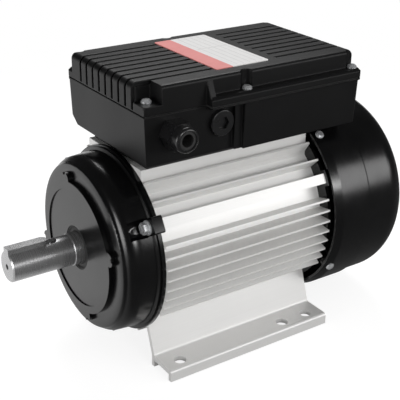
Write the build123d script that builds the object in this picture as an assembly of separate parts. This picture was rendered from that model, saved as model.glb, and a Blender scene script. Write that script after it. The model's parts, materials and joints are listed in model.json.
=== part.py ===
"""Single-phase capacitor motor on feet, frame size 90, drawn in millimetres.

The shaft runs along X at its centre height and drives towards -X. The origin is the middle of
the four outer foot holes, on the plane that the feet stand on. The cable gland is on the -Y side.
"""
from build123d import *
from math import cos, radians, sin, sqrt, tan
import os

os.makedirs("parts", exist_ok=True)

# Standard frame sizes
SHAFT_HEIGHT = 90.0        # shaft centre above the standing plane
FOOT_HOLES_ACROSS = 140.0
FOOT_HOLES_LONG = 125.0    # hole spacing of the long foot
FOOT_HOLES_SHORT = 100.0   # hole spacing of the short foot, measured from the same front hole
FOOT_HOLE_D = 10.0
HOLE_TO_SHOULDER = 56.0
SHAFT_D = 24.0
SHAFT_REACH = 50.0         # from the shoulder to the shaft's end
KEY_WIDTH = 8.0
KEY_HEIGHT = 7.0
KEY_LENGTH = 32.0
KEYWAY_DEPTH = 4.0
KEYWAY_LENGTH = 40.0

# Housing extrusion
HOUSING_LENGTH = 154.0
BORE_R = 60.0
BODY_WALL = 4.0
FIN_TIP_R = 76.5
FIN_ROOT_T = 2.6
FIN_TIP_T = 1.6
SIDE_FINS = 8
SIDE_FIN_TOP = 16.7        # angle of the highest close fin above the horizontal
SIDE_FIN_PITCH = 6.7
UPPER_FINS = 2
UPPER_FIN_PITCH = 12.0
BELLY_FINS = 2
RIB_ANGLES = (30.0, 150.0, 270.0)
RIB_WIDTH = 8.0
RIB_TIP_R = 77.0
PAD_WIDTH = 80.0           # flat seat for the terminal box
PAD_HEIGHT = 70.0          # seat above the shaft centre
PAD_PLATE = 5.0
PAD_WEB = 4.0
FOOT_WIDTH = 160.0
FOOT_HEIGHT = 9.5
FOOT_PLATE = 4.0
FOOT_LIP = 3.5
FOOT_WEB = 4.0
FOOT_WEB_OUT = 56.0        # half distance between the webs' outer faces at the plate
FOOT_WEB_LEAN = 20.0       # lean of the webs from the vertical
FOOT_EDGE_R = 2.5

# End shield screws
SHIELD_BOLT_CIRCLE_R = 72.5
SHIELD_BOLT_R = 2.5
SHIELD_BOLT_DEPTH = 16.0
HEX_ACROSS = 8.0
HEX_HEAD = 4.0
HEX_FLANGE_R = 5.6
HEX_FLANGE_T = 1.0
PLAY = 0.05                # radial play of a screw in its hole
RUNNING_PLAY = 0.05        # radial play of a turning part

# End shields
SHIELD_FLANGE_R = 74.0
SHIELD_FLANGE_T = 3.0
SHIELD_SPIGOT = 4.0
SPIGOT_WALL = 3.4
SPIGOT_PLAY = 0.1
DRUM_R = 70.5
DRUM_FRONT_R = 69.0
FLANGE_RING_R = 72.6        # the thin ring in front of the flange
FLANGE_RING_T = 2.6
EAR_TIP_R = 81.5
EAR_WIDTH = 13.0
EAR_THICKNESS = 8.5
EAR_POCKET_R = 7.6
EAR_POCKET_DEPTH = 14.0
FRONT_DEPTH = 35.5         # from the housing's end to the flange face
FACE_R = 52.5
FACE_STEP = 3.0
FACE_RECESS_R = 46.6
FACE_RECESS = 1.0
SHOULDER_R = 64.0
LUG_ANGLE = 14.0
LUG_R = 5.5
LUG_CENTRE_R = 54.0
LUG_DEPTH = 6.0
LUG_HOLE_R = 1.8
LUG_HOLE_CIRCLE_R = 59.0
FRONT_PLATE = 5.5
REAR_DEPTH = 25.0
REAR_PLATE = 4.5
HUB_WALL = 5.0

# Bearings: bore radius, outer radius, width and ring wall
FRONT_BEARING_BORE_R = 12.5
FRONT_BEARING_R = 26.0
FRONT_BEARING_WIDTH = 15.0
REAR_BEARING_BORE_R = 10.0
REAR_BEARING_R = 23.5
REAR_BEARING_WIDTH = 14.0
BEARING_RING_WALL = 3.4
BEARING_SHIELD_T = 0.8
BALL_R = 3.9
BALL_TRACK_R = 4.1
FRONT_BALLS = 9
REAR_BALLS = 8
RETAINER_T = 2.0
WAVE_WASHER_T = 1.5

# Seals
FRONT_SEAL_R = 17.5
SEAL_LIP_R = 16.0
SEAL_LIP_PROUD = 2.0
REAR_SEAL_R = 15.0

# Shaft and rotor
ROTOR_SEAT_R = 15.0
FAN_SEAT_R = 9.0
SHAFT_TAIL = 34.0          # past the fan end shield
SHAFT_CHAMFER = 1.0
CENTRE_HOLE_R = 2.2
CENTRE_HOLE_DEPTH = 6.0
STACK_LENGTH = 80.0
ROTOR_R = 33.0
AIR_GAP = 0.5
CAGE_RING_LENGTH = 10.0
CAGE_RING_R = 31.0
CAGE_RING_IN_R = 19.0
CAGE_PADDLES = 6
SLOTS = 24
SLOT_IN_R = 35.5
SLOT_OUT_R = 50.0
SLOT_MOUTH = 2.0
TOOTH_SHARE = 0.5
SLOT_LINER = 0.2
END_TURN_LENGTH = 22.0
END_TURN_IN_R = 38.0
END_TURN_OUT_R = 55.0

# Centrifugal governor on the shaft and the start switch that it works
GOVERNOR_X = 56.0          # the governor plate's face towards the rotor
GOVERNOR_PLATE_T = 2.0
GOVERNOR_HUB_R = 18.5
GOVERNOR_PLATE_R = 27.0
PIVOT_X = 71.0
PIVOT_R = 25.0
PIVOT_PIN_R = 1.0
PIVOT_PLAY = 0.08
GOVERNOR_ARM_T = 1.6
GOVERNOR_ARM_GAP = 15.0    # between the two arms that carry one weight
WEIGHT_WIDTH = 14.0
WEIGHT_START = 59.5
WEIGHT_END = 69.0
WEIGHT_IN_R = 26.6
WEIGHT_OUT_R = 33.0
WEIGHT_WEB_T = 1.6
TOE_R = 1.2
TOE_REACH = 6.8            # from the pivot to the middle of the toe
TOE_WIDTH = 8.0
TOE_ARM_T = 1.6
WEIGHT_SWING = 20.0
COLLAR_PLAY = 0.05
COLLAR_START = 65.0
COLLAR_END = 76.5
COLLAR_FLANGE_R = 20.0
COLLAR_LIP_R = 22.0
COLLAR_GROOVE_R = 16.5
COLLAR_GROOVE = 3.6
SWITCH_BOARD_X = 80.0
SWITCH_BOARD_T = 2.0
SWITCH_BOARD_IN_R = 27.0
SWITCH_BOARD_OUT_R = 46.0
SWITCH_BOARD_HALF = 26.0
BLADE_T = 0.8
BLADE_WIDTH = 8.0
BLADE_GAP = 0.3            # between the blade's tip and the collar's lip
BLADE_PIVOT_R = 36.0
BLADE_TIP_R = 19.5
BLADE_TAIL_R = 39.0
BLADE_PIN_R = 1.2
CONTACT_AT_R = 29.5
CONTACT_R = 2.0
CONTACT_GAP = 0.35
CONTACT_T = 0.8

# Fan and cowl
FAN_R = 70.0
FAN_LENGTH = 24.0
FAN_BLADES = 10
FAN_BLADE_T = 2.2
FAN_DISC_T = 2.5
FAN_HUB_R = 16.0
FAN_GAP = 11.0             # from the fan end shield to the fan's hub
COWL_START = 2.5           # from the housing's end to the cowl's rim
COWL_RIM_R = 80.8
COWL_FLARE = 6.5           # length over which the rim widens to the skirt
COWL_SKIRT_R = 83.4
COWL_SKIRT_END = 38.0
COWL_BACK_R = 82.0
COWL_END = 85.0
COWL_CORNER_R = 22.0
COWL_WALL = 2.0
COWL_SCREW_ANGLES = (-30.0, 55.0, 125.0, 210.0)
COWL_SCREW_AT = 8.0        # from the housing's end
COWL_BOSS_R = 5.0
COWL_SCREW_R = 2.0
COWL_SCREW_HEAD_R = 3.6
COWL_SCREW_FLAT = 0.6      # how far a screw's seat is sunk into the skirt
COWL_SCREW_HEAD = 2.4
COWL_SCREW_LENGTH = 10.0
GRILLE_RINGS = 5
GRILLE_FIRST_R = 14.0
GRILLE_SLOT = 5.0
GRILLE_PITCH = 9.0
GRILLE_SPOKES = 8
GRILLE_SPOKE_WIDTH = 6.0

# Terminal box
BOX_FRONT = -81.5
BOX_BACK = 112.5
BOX_HALF = 62.0
BOX_Y = 2.0                # the box's middle, towards the side away from the gland
BOX_UNDERSIDE = 167.5
BOX_RIM = 204.5
BOX_WALL = 3.0
BOX_CORNER_R = 4.0
BOX_DRAFT = 2.0
BOX_FLANGE = 1.0           # how far the rim stands proud of the wall
BOX_FLANGE_T = 1.4
RECESS_Y = -53.0           # outer wall where the cable gland sits
RECESS_END = 0.0
PILASTER_LENGTH = 6.5      # the half step beside the full width
SIDE_CHAMFER_WIDTH = 11.0
SIDE_CHAMFER_HEIGHT = 9.0
COWL_CLEARANCE = 1.5
NECK_HALF = 40.0
NECK_FRONT = -72.0
NECK_BACK = 70.0
PAD_GASKET_T = 1.5
WIRE_HOLE_LENGTH = 20.0
WIRE_HOLE_WIDTH = 24.0
WIRE_HOLE_X = -56.0
BOX_SCREW_X = 60.0
BOX_SCREW_Y = 28.0
BOX_SCREW_R = 2.5
BOX_SCREW_HEAD_R = 4.5
BOX_SCREW_HEAD = 3.0

# Lid
LID_GASKET_T = 0.9
LID_TOP = 225.5
LID_LEDGE = 212.0
LID_HALF = 55.5
LID_BACK = 110.5
LID_WALL = 3.5
LID_ROOF = 6.5
LID_EDGE_R = 2.5
LID_END_R = 5.0
LEDGE_START = -30.0        # where the near ledge ends in its gusset
LEDGE_CHAMFER = 2.0
GUSSET_T = 5.0
GROOVES = 9
GROOVE_PITCH = 9.7
GROOVE_WIDTH = 2.8
GROOVE_DEPTH = 3.0
GROOVE_FRONT_END = -14.0
GROOVE_BACK_START = 44.0
LID_SCREW_Y = 56.5         # from the box's middle
LID_SCREW_NEAR_FRONT = (-74.0, -43.5)
LID_SCREW_X = (-74.5, 5.0, 107.5)
LID_NOTCH_X = -67.0        # the notch in the lid's near front corner
LID_NOTCH_Y = -37.0
LID_SCREW_R = 2.0
LID_SCREW_HEAD_R = 3.8
LID_SCREW_HEAD = 2.6
LID_SCREW_LENGTH = 22.0
LID_POCKET_R = 5.2
LID_POCKET_WALL = 2.0
LID_BOSS_R = 4.6
PLATE_WIDTH = 87.0
PLATE_LENGTH = 48.0
PLATE_T = 0.6
PLATE_X = 10.5

# Cable gland and blanking plug
GLAND_X = -58.5
GLAND_Z = 190.0
GLAND_THREAD_R = 8.0
GLAND_HEX = 20.0
GLAND_COLLAR = 4.0
GLAND_NUT = 9.0
GLAND_DOME_R = 9.6
GLAND_DOME = 8.0
GLAND_BORE_R = 4.8
GLAND_SEAL_R = 7.0
GLAND_THREAD = 9.0
LOCKNUT_T = 4.0
LOCKNUT_HEX = 19.0
PLUG_X = -17.0
PLUG_R = 10.0
PLUG_HEAD = 3.5
PLUG_HEX = 9.0
PLUG_HEX_DEPTH = 2.5

# Inside the terminal box
RUN_CAP_R = 20.0
START_CAP_R = 18.0
CAP_LENGTH = 84.0
CAP_X = 14.0
CAP_Y = 27.0
CAP_Z = 194.5
CAP_TERMINAL_R = 3.0
CAP_TERMINAL = 5.0
TIE_T = 1.2
TIE_WIDTH = 6.0
CRADLE_T = 3.0
CRADLE_X = (30.0, 72.0)
BOARD_X = -38.0
BOARD_LENGTH = 48.0
BOARD_WIDTH = 56.0
BOARD_T = 5.0
BOARD_LIFT = 8.0
BOARD_POST_R = 4.0
STUD_R = 2.5
STUD_LENGTH = 14.0
STUD_PITCH_X = 16.0
STUD_PITCH_Y = 26.0
NUT_HEX = 8.0
NUT_T = 3.2
LINK_T = 1.0
LINK_WIDTH = 7.0

# Worked out from the sizes above
END_X = HOUSING_LENGTH / 2
BODY_R = BORE_R + BODY_WALL
FRONT_HOLE_X = -FOOT_HOLES_LONG / 2
SHOULDER_X = FRONT_HOLE_X - HOLE_TO_SHOULDER
SHAFT_END_X = SHOULDER_X - SHAFT_REACH
FACE_X = -END_X - FRONT_DEPTH
FRONT_INNER_X = FACE_X + FACE_RECESS + FRONT_PLATE
REAR_FACE_X = END_X + REAR_DEPTH
REAR_INNER_X = REAR_FACE_X - REAR_PLATE
SPIGOT_R = BORE_R - SPIGOT_PLAY
SPIGOT_IN_R = SPIGOT_R - SPIGOT_WALL
SHAFT_TAIL_X = REAR_FACE_X + SHAFT_TAIL
PAD_Z = SHAFT_HEIGHT + PAD_HEIGHT
NECK_Z = PAD_Z + PAD_GASKET_T
BOX_FLOOR = BOX_UNDERSIDE + BOX_WALL
LID_Z = BOX_RIM + LID_GASKET_T
LID_CEILING = LID_TOP - LID_ROOF
FLANGE_HALF = BOX_HALF + BOX_FLANGE
FLANGE_BACK = BOX_BACK + BOX_FLANGE
COWL_FRONT_X = END_X + COWL_START
COWL_END_X = END_X + COWL_END
SHAFT_LINE = Axis((0, 0, SHAFT_HEIGHT), (1, 0, 0))


def across(x, angle=0.0):
    """The plane across the shaft at x, turned so that its own x axis points out at the angle."""
    return Plane((x, 0, SHAFT_HEIGHT), x_dir=(0, -cos(radians(angle)), sin(radians(angle))), z_dir=(-1, 0, 0))


def turned(*points):
    """A solid of revolution about the shaft from points of (x, radius)."""
    outline = Polygon(*[(x, SHAFT_HEIGHT + r) for x, r in points], align=None)
    return revolve(Plane.XZ * outline, SHAFT_LINE)


def ring(x0, x1, r_in, r_out):
    return turned((x0, r_in), (x1, r_in), (x1, r_out), (x0, r_out))


def rod(x0, x1, radius, y=0.0, z=SHAFT_HEIGHT):
    """A round bar along X."""
    start = Plane((x0, y, z), x_dir=(0, 1, 0), z_dir=(1, 0, 0))
    return extrude(start * Circle(radius), x1 - x0)


def block(x0, x1, y0, y1, z0, z1):
    return Pos((x0 + x1) / 2, (y0 + y1) / 2, (z0 + z1) / 2) * Box(x1 - x0, y1 - y0, z1 - z0)


def post(x, y, z0, z1, radius):
    """A round bar along Z."""
    return Pos(x, y, (z0 + z1) / 2) * Cylinder(radius, z1 - z0)


def out_at(angle, radius):
    """Y and Z of a point at an angle above the horizontal on the gland's side."""
    return -radius * cos(radians(angle)), SHAFT_HEIGHT + radius * sin(radians(angle))


def save(name, *solids):
    shape = solids[0] if len(solids) == 1 else Compound(children=list(solids))
    export_step(shape, f"parts/{name}.step")
    return shape


def spoke(inner, outer, root, tip, angle):
    """A tapered bar of the housing's section that points away from the shaft."""
    outline = Polygon((inner, -root / 2), (outer, -tip / 2), (outer, tip / 2), (inner, root / 2), align=None)
    return Pos(0, SHAFT_HEIGHT) * Rot(0, 0, 180 - angle) * outline


def fin_angles():
    """The fins of one side; the other side mirrors them."""
    close = [SIDE_FIN_TOP - SIDE_FIN_PITCH * i for i in range(SIDE_FINS)]
    upper = [RIB_ANGLES[0] + UPPER_FIN_PITCH * (i + 1) for i in range(UPPER_FINS)]
    belly = [UPPER_FIN_PITCH * (i + 1) - 90 for i in range(BELLY_FINS)]
    return close + upper + belly


def foot_outline():
    """One foot with its leaning web, on the +Y side."""
    half = FOOT_WIDTH / 2
    under = FOOT_HEIGHT - FOOT_PLATE
    meet_z = SHAFT_HEIGHT - BODY_R * 0.7
    meet_y = FOOT_WEB_OUT - (meet_z - FOOT_HEIGHT) * tan(radians(FOOT_WEB_LEAN))
    inner = FOOT_WEB_OUT - FOOT_WEB
    foot = Polygon(
        (half, 0), (half, FOOT_HEIGHT), (FOOT_WEB_OUT, FOOT_HEIGHT), (meet_y, meet_z),
        (meet_y - FOOT_WEB, meet_z), (inner, FOOT_HEIGHT), (inner, 0), (inner + FOOT_LIP, 0),
        (inner + FOOT_LIP, under), (half - FOOT_LIP, under), (half - FOOT_LIP, 0), align=None)
    corner = foot.vertices().sort_by_distance((half, FOOT_HEIGHT))[0]
    root = foot.vertices().sort_by_distance((FOOT_WEB_OUT, FOOT_HEIGHT))[0]
    return fillet([corner, root], FOOT_EDGE_R)


def housing():
    section = Pos(0, SHAFT_HEIGHT) * Circle(BODY_R)
    root = BODY_R - 1
    for angle in fin_angles():
        for turn in (angle, 180 - angle):
            section += spoke(root, FIN_TIP_R, FIN_ROOT_T, FIN_TIP_T, turn)
    for angle in RIB_ANGLES:
        section += spoke(root, RIB_TIP_R, RIB_WIDTH, RIB_WIDTH, angle)
    half = PAD_WIDTH / 2
    section += Pos(0, PAD_Z - PAD_PLATE / 2) * Rectangle(PAD_WIDTH, PAD_PLATE)
    web_foot = SHAFT_HEIGHT + sqrt(BODY_R ** 2 - half ** 2) - PAD_WEB
    for side in (-1, 1):
        web_y = side * (half - PAD_WEB / 2)
        section += Pos(web_y, (PAD_Z + web_foot) / 2) * Rectangle(PAD_WEB, PAD_Z - web_foot)
    foot = foot_outline()
    section += foot
    section += mirror(foot, Plane.YZ)
    section -= Pos(0, SHAFT_HEIGHT) * Circle(BORE_R)
    solid = extrude(Plane((-END_X, 0, 0), x_dir=(0, 1, 0), z_dir=(1, 0, 0)) * section, HOUSING_LENGTH)
    for x in (FRONT_HOLE_X, FRONT_HOLE_X + FOOT_HOLES_SHORT, FRONT_HOLE_X + FOOT_HOLES_LONG):
        for y in (-FOOT_HOLES_ACROSS / 2, FOOT_HOLES_ACROSS / 2):
            solid -= post(x, y, 0, FOOT_HEIGHT + 1, FOOT_HOLE_D / 2)
    for angle in RIB_ANGLES:
        y, z = out_at(angle, SHIELD_BOLT_CIRCLE_R)
        solid -= rod(-END_X, -END_X + SHIELD_BOLT_DEPTH, SHIELD_BOLT_R, y, z)
        solid -= rod(END_X - SHIELD_BOLT_DEPTH, END_X, SHIELD_BOLT_R, y, z)
    for x, y in box_screws():
        solid -= post(x, y, PAD_Z - PAD_PLATE - 1, PAD_Z, BOX_SCREW_R)
    return solid - wire_hole(SHAFT_HEIGHT, PAD_Z)


def wire_hole(z0, z1):
    return block(WIRE_HOLE_X - WIRE_HOLE_LENGTH / 2, WIRE_HOLE_X + WIRE_HOLE_LENGTH / 2,
                 -WIRE_HOLE_WIDTH / 2, WIRE_HOLE_WIDTH / 2, z0, z1)


def box_screws():
    return [(x, y) for x in (-BOX_SCREW_X, BOX_SCREW_X) for y in (-BOX_SCREW_Y, BOX_SCREW_Y)]


def ear(angle, start, length):
    """A boss on a shield's flange for one screw."""
    low = BODY_R
    outline = Pos((low + EAR_TIP_R) / 2, 0) * Rectangle(EAR_TIP_R - low, EAR_WIDTH)
    outline = fillet(outline.vertices().group_by(Axis.X)[-1], 2)
    return extrude(across(start, angle) * outline, length)


def hub_bore(x0, x1, radius):
    return rod(x0, x1, radius)


def front_shield():
    flange_x = -END_X - SHIELD_FLANGE_T
    ring_x = flange_x - FLANGE_RING_T
    hub_r = FRONT_BEARING_R + HUB_WALL
    hub_x = FRONT_INNER_X + FRONT_BEARING_WIDTH + 1
    shield = turned(
        (FACE_X + FACE_RECESS, FRONT_SEAL_R), (FACE_X + FACE_RECESS, FACE_RECESS_R),
        (FACE_X, FACE_RECESS_R), (FACE_X, FACE_R), (FACE_X + FACE_STEP, FACE_R),
        (FACE_X + FACE_STEP + 1, SHOULDER_R), (FACE_X + FACE_STEP + 9, DRUM_FRONT_R),
        (ring_x, DRUM_R), (ring_x + 0.8, FLANGE_RING_R), (flange_x, FLANGE_RING_R),
        (flange_x, SHIELD_FLANGE_R), (-END_X, SHIELD_FLANGE_R),
        (-END_X, SPIGOT_R), (-END_X + SHIELD_SPIGOT, SPIGOT_R), (-END_X + SHIELD_SPIGOT, SPIGOT_IN_R),
        (flange_x, SPIGOT_IN_R), (flange_x - 4, DRUM_R - 6), (FRONT_INNER_X + 9, DRUM_FRONT_R - 6),
        (FRONT_INNER_X, FACE_R - 4), (FRONT_INNER_X, hub_r), (hub_x, hub_r),
        (hub_x, FRONT_BEARING_R), (FRONT_INNER_X, FRONT_BEARING_R), (FRONT_INNER_X, FRONT_SEAL_R))
    shoulder = shield.edges().filter_by(GeomType.CIRCLE)
    round_at = [e for e in shoulder if abs(e.radius - SHOULDER_R) < 0.01 or abs(e.radius - DRUM_FRONT_R) < 0.01]
    shield = fillet(round_at, 5)
    for i in range(4):
        plane = across(FACE_X, LUG_ANGLE + 90 * i)
        shield += extrude(plane * Pos(LUG_CENTRE_R, 0) * Circle(LUG_R), -LUG_DEPTH)
        shield -= extrude(plane * Pos(LUG_HOLE_CIRCLE_R, 0) * Circle(LUG_HOLE_R), -FACE_STEP)
    for angle in RIB_ANGLES:
        y, z = out_at(angle, SHIELD_BOLT_CIRCLE_R)
        shield += ear(angle, -END_X - EAR_THICKNESS, -EAR_THICKNESS)
        shield -= rod(-END_X - EAR_THICKNESS - EAR_POCKET_DEPTH, -END_X - EAR_THICKNESS, EAR_POCKET_R, y, z)
        shield -= rod(-END_X - EAR_THICKNESS, -END_X, SHIELD_BOLT_R + PLAY, y, z)
    return shield - hub_bore(FRONT_INNER_X, hub_x, FRONT_BEARING_R)


def rear_shield():
    flange_x = END_X + SHIELD_FLANGE_T
    hub_r = REAR_BEARING_R + HUB_WALL
    hub_x = REAR_INNER_X - REAR_BEARING_WIDTH - WAVE_WASHER_T
    shield = turned(
        (REAR_FACE_X, REAR_SEAL_R), (REAR_FACE_X, hub_r + 6), (REAR_FACE_X - 4, SPIGOT_R - 6),
        (flange_x + 6, DRUM_R - 4), (flange_x, DRUM_R), (flange_x, SHIELD_FLANGE_R),
        (END_X, SHIELD_FLANGE_R), (END_X, SPIGOT_R), (END_X - SHIELD_SPIGOT, SPIGOT_R),
        (END_X - SHIELD_SPIGOT, SPIGOT_IN_R), (END_X + 4, SPIGOT_IN_R), (REAR_INNER_X - 3, SPIGOT_IN_R - 6),
        (REAR_INNER_X, hub_r + 4), (REAR_INNER_X, hub_r), (hub_x, hub_r), (hub_x, REAR_BEARING_R),
        (REAR_INNER_X, REAR_BEARING_R), (REAR_INNER_X, REAR_SEAL_R))
    for angle in RIB_ANGLES:
        y, z = out_at(angle, SHIELD_BOLT_CIRCLE_R)
        shield += ear(angle, END_X, -EAR_THICKNESS) & ring(END_X, END_X + EAR_THICKNESS, 0, COWL_RIM_R - COWL_WALL - 0.5)
        shield -= rod(END_X + EAR_THICKNESS, END_X + EAR_THICKNESS + 16, EAR_POCKET_R, y, z)
        shield -= rod(END_X, END_X + EAR_THICKNESS, SHIELD_BOLT_R + PLAY, y, z)
    for angle in COWL_SCREW_ANGLES:
        shield += cowl_boss(angle)
    return shield


def cowl_boss(angle):
    """A boss for one of the cowl's screws, reaching out to the cowl's skirt."""
    x = END_X + COWL_SCREW_AT
    root = DRUM_R - 10
    reach = cowl_outside(x) - COWL_WALL - root
    boss = extrude(screw_plane(angle, root) * Circle(COWL_BOSS_R), reach)
    inner_rim = COWL_RIM_R - COWL_WALL
    slope = (COWL_SKIRT_R - COWL_RIM_R) / COWL_FLARE
    start = END_X + 1
    room = turned((start, 0), (start, inner_rim - slope * (COWL_START - 1)), (COWL_FRONT_X + COWL_FLARE,
                  COWL_SKIRT_R - COWL_WALL), (x + 9, COWL_SKIRT_R - COWL_WALL), (x + 9, 0))
    boss = boss & room
    return boss - extrude(screw_plane(angle, cowl_seat()) * Circle(COWL_SCREW_R), -COWL_SCREW_LENGTH)


def cowl_outside(x):
    """Outer radius of the cowl's skirt near its rim, which flares to the full skirt."""
    reach = min(1.0, (x - COWL_FRONT_X) / COWL_FLARE)
    return COWL_RIM_R + (COWL_SKIRT_R - COWL_RIM_R) * reach


def cowl():
    skirt_x = END_X + COWL_SKIRT_END
    flare = COWL_FRONT_X + COWL_FLARE
    turn_x = COWL_END_X - COWL_CORNER_R
    flat_r = COWL_BACK_R - COWL_CORNER_R
    wall = COWL_WALL
    with BuildSketch(Plane.XZ) as outline:
        with BuildLine():
            Polyline((COWL_END_X, SHAFT_HEIGHT), (COWL_END_X, SHAFT_HEIGHT + flat_r))
            RadiusArc((COWL_END_X, SHAFT_HEIGHT + flat_r), (turn_x, SHAFT_HEIGHT + COWL_BACK_R), -COWL_CORNER_R)
            Polyline(
                (turn_x, SHAFT_HEIGHT + COWL_BACK_R), (skirt_x + 1, SHAFT_HEIGHT + COWL_BACK_R),
                (skirt_x - 1, SHAFT_HEIGHT + COWL_SKIRT_R), (flare, SHAFT_HEIGHT + COWL_SKIRT_R),
                (COWL_FRONT_X, SHAFT_HEIGHT + COWL_RIM_R), (COWL_FRONT_X, SHAFT_HEIGHT + COWL_RIM_R - wall),
                (flare, SHAFT_HEIGHT + COWL_SKIRT_R - wall), (skirt_x - 1, SHAFT_HEIGHT + COWL_SKIRT_R - wall),
                (skirt_x + 1, SHAFT_HEIGHT + COWL_BACK_R - wall), (turn_x, SHAFT_HEIGHT + COWL_BACK_R - wall))
            RadiusArc((turn_x, SHAFT_HEIGHT + COWL_BACK_R - wall), (COWL_END_X - wall, SHAFT_HEIGHT + flat_r),
                      COWL_CORNER_R - wall)
            Polyline((COWL_END_X - wall, SHAFT_HEIGHT + flat_r), (COWL_END_X - wall, SHAFT_HEIGHT),
                     (COWL_END_X, SHAFT_HEIGHT))
        make_face()
    shell = revolve(outline.sketch, SHAFT_LINE)
    shell -= grille()
    for angle in COWL_SCREW_ANGLES:
        seat = screw_plane(angle, cowl_seat())
        shell -= extrude(seat * Circle(COWL_SCREW_HEAD_R + 0.4), 4)
        shell -= extrude(seat * Circle(COWL_SCREW_R + PLAY), -COWL_WALL - 1)
    return shell


def cowl_seat():
    """Distance from the shaft to the flats that the cowl's screws sit on."""
    return cowl_outside(END_X + COWL_SCREW_AT) - COWL_SCREW_FLAT


def grille():
    """Ring slots in the cowl's end, left closed at the spokes."""
    slots = Sketch()
    for i in range(GRILLE_RINGS):
        inner = GRILLE_FIRST_R + GRILLE_PITCH * i
        slots += Circle(inner + GRILLE_SLOT) - Circle(inner)
    for i in range(GRILLE_SPOKES // 2):
        slots -= Rot(0, 0, 360 / GRILLE_SPOKES * i) * Rectangle(4 * COWL_BACK_R, GRILLE_SPOKE_WIDTH)
    return extrude(across(COWL_END_X + 1) * slots, COWL_WALL + 2)


def screw_plane(angle, radius):
    """A plane that faces out at a cowl screw, at a radius from the shaft."""
    y, z = out_at(angle, radius)
    out = (0, -cos(radians(angle)), sin(radians(angle)))
    return Plane((END_X + COWL_SCREW_AT, y, z), x_dir=(1, 0, 0), z_dir=out)


def cowl_screw(angle):
    seat = cowl_seat()
    shank = extrude(screw_plane(angle, seat) * Circle(COWL_SCREW_R - PLAY), -COWL_SCREW_LENGTH)
    head = extrude(screw_plane(angle, seat) * Circle(COWL_SCREW_HEAD_R), COWL_SCREW_HEAD)
    rim = head.edges().filter_by(GeomType.CIRCLE).sort_by_distance(screw_plane(angle, seat + 9).origin)[0]
    head = chamfer(rim, COWL_SCREW_HEAD / 2)
    return shank + head


def shield_screw(angle, seat, way):
    """A hex flange screw from its seat; way is -1 where the head points to the drive end."""
    y, z = out_at(angle, SHIELD_BOLT_CIRCLE_R)
    flange_end = seat + way * HEX_FLANGE_T
    length = EAR_THICKNESS + SHIELD_BOLT_DEPTH - 1
    plane = Plane((flange_end, y, z), x_dir=(0, 1, 0), z_dir=(way, 0, 0))
    screw = rod(min(seat, seat - way * length), max(seat, seat - way * length), SHIELD_BOLT_R - PLAY, y, z)
    screw += rod(min(seat, flange_end), max(seat, flange_end), HEX_FLANGE_R, y, z)
    hexagon = RegularPolygon(HEX_ACROSS / 2, 6, major_radius=False)
    return screw + extrude(plane * hexagon, HEX_HEAD)


def bearing(x0, width, bore_r, outer_r):
    """Outer ring with its shields, and inner ring, either side of the ball track."""
    wall = BEARING_RING_WALL
    outer = ring(x0, x0 + width, outer_r - wall, outer_r)
    inner = ring(x0, x0 + width, bore_r, bore_r + wall)
    for x in (x0 + 0.5, x0 + width - 0.5 - BEARING_SHIELD_T):
        outer += ring(x, x + BEARING_SHIELD_T, bore_r + wall + 0.4, outer_r - wall)
    track = revolve(track_plane(x0, width, bore_r, outer_r) * Circle(BALL_TRACK_R), SHAFT_LINE)
    return outer - track, inner - track


def track_plane(x0, width, bore_r, outer_r):
    """Where the ball track's section is drawn, halfway between the rings."""
    return Plane((x0 + width / 2, 0, SHAFT_HEIGHT + (bore_r + outer_r) / 2), x_dir=(1, 0, 0), z_dir=(0, -1, 0))


def ball_set(x0, width, bore_r, outer_r, count):
    """The balls held in their retainer ring."""
    middle = x0 + width / 2
    pitch = (bore_r + outer_r) / 2
    cage = ring(middle - RETAINER_T / 2, middle + RETAINER_T / 2, pitch - 1.2, pitch + 1.2)
    for i in range(count):
        y, z = out_at(360 / count * i, pitch)
        cage += Pos(middle, y, z) * Sphere(BALL_R)
    return cage


def shaft():
    front_r = SHAFT_D / 2
    back_x = REAR_INNER_X - REAR_BEARING_WIDTH
    bar = turned(
        (SHAFT_END_X, 0), (SHAFT_END_X, front_r - SHAFT_CHAMFER), (SHAFT_END_X + SHAFT_CHAMFER, front_r),
        (SHOULDER_X, front_r), (SHOULDER_X + 0.5, FRONT_BEARING_BORE_R),
        (FRONT_INNER_X + FRONT_BEARING_WIDTH, FRONT_BEARING_BORE_R),
        (FRONT_INNER_X + FRONT_BEARING_WIDTH, ROTOR_SEAT_R), (back_x, ROTOR_SEAT_R),
        (back_x, REAR_BEARING_BORE_R), (REAR_FACE_X, REAR_BEARING_BORE_R), (REAR_FACE_X, FAN_SEAT_R),
        (SHAFT_TAIL_X, FAN_SEAT_R), (SHAFT_TAIL_X, 0))
    bar -= rod(SHAFT_END_X, SHAFT_END_X + CENTRE_HOLE_DEPTH, CENTRE_HOLE_R)
    return bar - keyway()


def keyway():
    floor = SHAFT_HEIGHT + SHAFT_D / 2 - KEYWAY_DEPTH
    end = SHAFT_END_X + KEYWAY_LENGTH
    half = KEY_WIDTH / 2
    slot = block(SHAFT_END_X, end - half, -half, half, floor, floor + KEY_HEIGHT)
    return slot + post(end - half, 0, floor, floor + KEY_HEIGHT, half)


def key():
    floor = SHAFT_HEIGHT + SHAFT_D / 2 - KEYWAY_DEPTH
    half = KEY_WIDTH / 2
    bar = block(SHAFT_END_X, SHAFT_END_X + KEY_LENGTH, -half, half, floor, floor + KEY_HEIGHT)
    far = bar.edges().filter_by(Axis.Z).group_by(Axis.X)[-1]
    return fillet(far, half - 0.1)


def slot_sector(i, inner, outer, liner):
    """One winding slot, wider towards its outer end."""
    step = 360 / SLOTS
    half_in = inner * radians(step) * (1 - TOOTH_SHARE) / 2 - liner
    half_out = outer * radians(step) * (1 - TOOTH_SHARE) / 2 - liner
    outline = Polygon((inner + liner, -half_in), (outer - liner, -half_out), (outer - liner, half_out),
                      (inner + liner, half_in), align=None)
    return Rot(0, 0, step * i) * outline


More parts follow.
